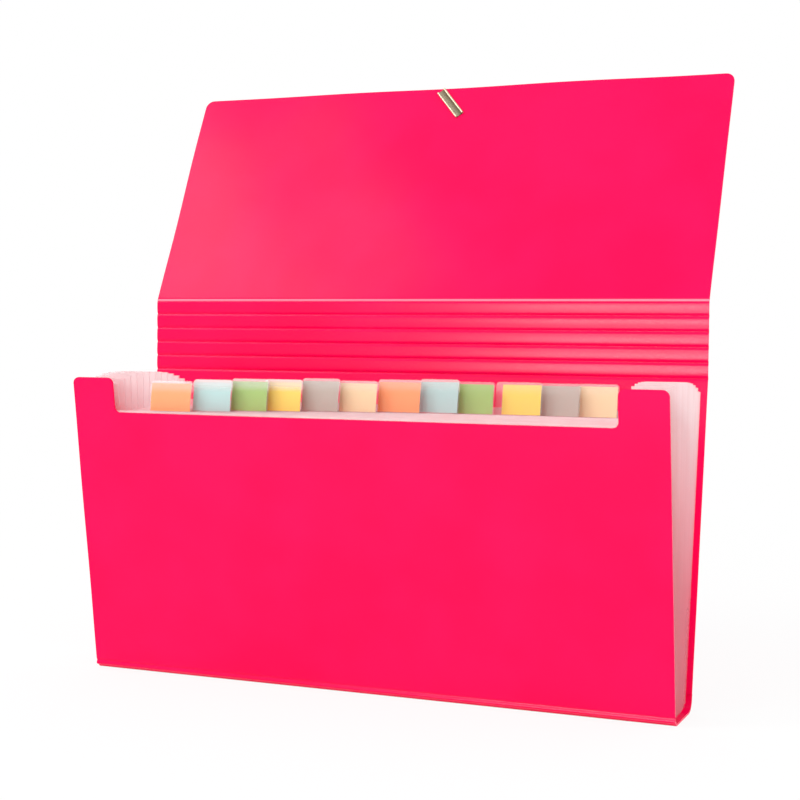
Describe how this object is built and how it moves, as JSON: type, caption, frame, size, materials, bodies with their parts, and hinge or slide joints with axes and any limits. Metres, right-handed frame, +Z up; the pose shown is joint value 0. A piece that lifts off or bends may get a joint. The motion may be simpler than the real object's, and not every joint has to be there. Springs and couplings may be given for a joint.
{
  "type": "accordion file folder",
  "caption": "Accordion file folder with a notched front, fanned translucent pockets with staggered index tabs, pleated sides, a creased hinge band and a flap that folds over the front.",
  "frame": {"origin": "on the flat bottom of the spine, midway across the width and midway between the cover's two bottom creases", "axes": "+X to the right seen from the front, +Y from the front panel to the back panel, +Z up"},
  "size_m": [0.26, 0.1164, 0.2639],
  "materials": {
    "cover_plastic": "fine sand-grained polypropylene sheet, hot pink-red",
    "frosted_plastic": "frosted translucent polypropylene film",
    "clear_film": "clear glossy film",
    "crimp_metal": "pale plated brass, pressed and polished",
    "label_orange": "matt orange paper",
    "label_blue": "matt blue paper",
    "label_green": "matt green paper",
    "label_yellow": "matt yellow paper",
    "label_grey": "matt grey paper",
    "label_beige": "matt beige paper"
  },
  "bodies": {
    "back_cover": {"back_panel": "cover_plastic", "spine": "cover_plastic", "back_liner": "frosted_plastic", "bellows_left": "frosted_plastic", "bellows_right": "frosted_plastic"},
    "front_cover": {"front_panel": "cover_plastic", "front_liner": "frosted_plastic"},
    "pocket_wall_01": {"divider_01": "frosted_plastic", "tab_sleeve_01": "clear_film", "tab_label_01": "label_orange"},
    "pocket_wall_02": {"divider_02": "frosted_plastic", "tab_sleeve_02": "clear_film", "tab_label_02": "label_blue"},
    "pocket_wall_03": {"divider_03": "frosted_plastic", "tab_sleeve_03": "clear_film", "tab_label_03": "label_green"},
    "pocket_wall_04": {"divider_04": "frosted_plastic", "tab_sleeve_04": "clear_film", "tab_label_04": "label_yellow"},
    "pocket_wall_05": {"divider_05": "frosted_plastic", "tab_sleeve_05": "clear_film", "tab_label_05": "label_grey"},
    "pocket_wall_06": {"divider_06": "frosted_plastic", "tab_sleeve_06": "clear_film", "tab_label_06": "label_beige"},
    "pocket_wall_07": {"divider_07": "frosted_plastic", "tab_sleeve_07": "clear_film", "tab_label_07": "label_orange"},
    "pocket_wall_08": {"divider_08": "frosted_plastic", "tab_sleeve_08": "clear_film", "tab_label_08": "label_blue"},
    "pocket_wall_09": {"divider_09": "frosted_plastic", "tab_sleeve_09": "clear_film", "tab_label_09": "label_green"},
    "pocket_wall_10": {"divider_10": "frosted_plastic", "tab_sleeve_10": "clear_film", "tab_label_10": "label_yellow"},
    "pocket_wall_11": {"divider_11": "frosted_plastic", "tab_sleeve_11": "clear_film", "tab_label_11": "label_grey"},
    "pocket_wall_12": {"divider_12": "frosted_plastic", "tab_sleeve_12": "clear_film", "tab_label_12": "label_beige"},
    "band_strip_1": {"hinge_strip_1": "cover_plastic"},
    "band_strip_2": {"hinge_strip_2": "cover_plastic"},
    "band_strip_3": {"hinge_strip_3": "cover_plastic"},
    "band_strip_4": {"hinge_strip_4": "cover_plastic"},
    "band_strip_5": {"hinge_strip_5": "cover_plastic"},
    "flap": {"flap": "cover_plastic", "cord_crimp": "crimp_metal"}
  },
  "joints": [
    {"name": "band_fold", "type": "hinge", "parent": "back_cover", "child": "band_strip_1", "pos_m": [0, 0.03559, 0.13229], "axis": [1, 0, 0], "range_deg": [-30, 54]},
    {"name": "band_crease_2", "type": "hinge", "parent": "band_strip_1", "child": "band_strip_2", "pos_m": [0, 0.03559, 0.13869], "axis": [1, 0, 0], "range_deg": [-10, 18]},
    {"name": "band_crease_3", "type": "hinge", "parent": "band_strip_2", "child": "band_strip_3", "pos_m": [0, 0.03559, 0.14509], "axis": [1, 0, 0], "range_deg": [-5, 9]},
    {"name": "band_crease_4", "type": "hinge", "parent": "band_strip_3", "child": "band_strip_4", "pos_m": [0, 0.03559, 0.15149], "axis": [1, 0, 0], "range_deg": [-5, 9]},
    {"name": "band_crease_5", "type": "hinge", "parent": "band_strip_4", "child": "band_strip_5", "pos_m": [0, 0.03559, 0.15789], "axis": [1, 0, 0], "range_deg": [-10, 18]},
    {"name": "flap_fold", "type": "hinge", "parent": "band_strip_5", "child": "flap", "pos_m": [0, 0.03559, 0.16429], "axis": [1, 0, 0], "range_deg": [-60, 87]},
    {"name": "front_squeeze", "type": "hinge", "parent": "back_cover", "child": "front_cover", "pos_m": [0, -0.01475, 0.0034], "axis": [-1, 0, 0], "range_deg": [-9.9, 17.8], "deforming": ["bellows_left", "bellows_right"]},
    {"name": "pocket_wall_01_squeeze", "type": "hinge", "parent": "back_cover", "child": "pocket_wall_01", "pos_m": [0, -0.01475, 0.0034], "axis": [-1, 0, 0], "range_deg": [-9.15, 16.44]},
    {"name": "pocket_wall_02_squeeze", "type": "hinge", "parent": "back_cover", "child": "pocket_wall_02", "pos_m": [0, -0.01475, 0.0034], "axis": [-1, 0, 0], "range_deg": [-8.39, 15.07]},
    {"name": "pocket_wall_03_squeeze", "type": "hinge", "parent": "back_cover", "child": "pocket_wall_03", "pos_m": [0, -0.01475, 0.0034], "axis": [-1, 0, 0], "range_deg": [-7.63, 13.7]},
    {"name": "pocket_wall_04_squeeze", "type": "hinge", "parent": "back_cover", "child": "pocket_wall_04", "pos_m": [0, -0.01475, 0.0034], "axis": [-1, 0, 0], "range_deg": [-6.86, 12.33]},
    {"name": "pocket_wall_05_squeeze", "type": "hinge", "parent": "back_cover", "child": "pocket_wall_05", "pos_m": [0, -0.01475, 0.0034], "axis": [-1, 0, 0], "range_deg": [-6.1, 10.96]},
    {"name": "pocket_wall_06_squeeze", "type": "hinge", "parent": "back_cover", "child": "pocket_wall_06", "pos_m": [0, -0.01475, 0.0034], "axis": [-1, 0, 0], "range_deg": [-5.34, 9.59]},
    {"name": "pocket_wall_07_squeeze", "type": "hinge", "parent": "back_cover", "child": "pocket_wall_07", "pos_m": [0, -0.01475, 0.0034], "axis": [-1, 0, 0], "range_deg": [-4.58, 8.23]},
    {"name": "pocket_wall_08_squeeze", "type": "hinge", "parent": "back_cover", "child": "pocket_wall_08", "pos_m": [0, -0.01475, 0.0034], "axis": [-1, 0, 0], "range_deg": [-3.82, 6.86]},
    {"name": "pocket_wall_09_squeeze", "type": "hinge", "parent": "back_cover", "child": "pocket_wall_09", "pos_m": [0, -0.01475, 0.0034], "axis": [-1, 0, 0], "range_deg": [-3.06, 5.49]},
    {"name": "pocket_wall_10_squeeze", "type": "hinge", "parent": "back_cover", "child": "pocket_wall_10", "pos_m": [0, -0.01475, 0.0034], "axis": [-1, 0, 0], "range_deg": [-2.29, 4.12]},
    {"name": "pocket_wall_11_squeeze", "type": "hinge", "parent": "back_cover", "child": "pocket_wall_11", "pos_m": [0, -0.01475, 0.0034], "axis": [-1, 0, 0], "range_deg": [-1.53, 2.75]},
    {"name": "pocket_wall_12_squeeze", "type": "hinge", "parent": "back_cover", "child": "pocket_wall_12", "pos_m": [0, -0.01475, 0.0034], "axis": [-1, 0, 0], "range_deg": [-0.77, 1.38]}
  ],
  "couplings": [
    {"joint": "pocket_wall_01_squeeze", "follows": "front_squeeze", "ratio": 0.92308},
    {"joint": "pocket_wall_02_squeeze", "follows": "front_squeeze", "ratio": 0.84615},
    {"joint": "pocket_wall_03_squeeze", "follows": "front_squeeze", "ratio": 0.76923},
    {"joint": "pocket_wall_04_squeeze", "follows": "front_squeeze", "ratio": 0.69231},
    {"joint": "pocket_wall_05_squeeze", "follows": "front_squeeze", "ratio": 0.61538},
    {"joint": "pocket_wall_06_squeeze", "follows": "front_squeeze", "ratio": 0.53846},
    {"joint": "pocket_wall_07_squeeze", "follows": "front_squeeze", "ratio": 0.46154},
    {"joint": "pocket_wall_08_squeeze", "follows": "front_squeeze", "ratio": 0.38461},
    {"joint": "pocket_wall_09_squeeze", "follows": "front_squeeze", "ratio": 0.30769},
    {"joint": "pocket_wall_10_squeeze", "follows": "front_squeeze", "ratio": 0.23077},
    {"joint": "pocket_wall_11_squeeze", "follows": "front_squeeze", "ratio": 0.15385},
    {"joint": "pocket_wall_12_squeeze", "follows": "front_squeeze", "ratio": 0.076923}
  ]
}
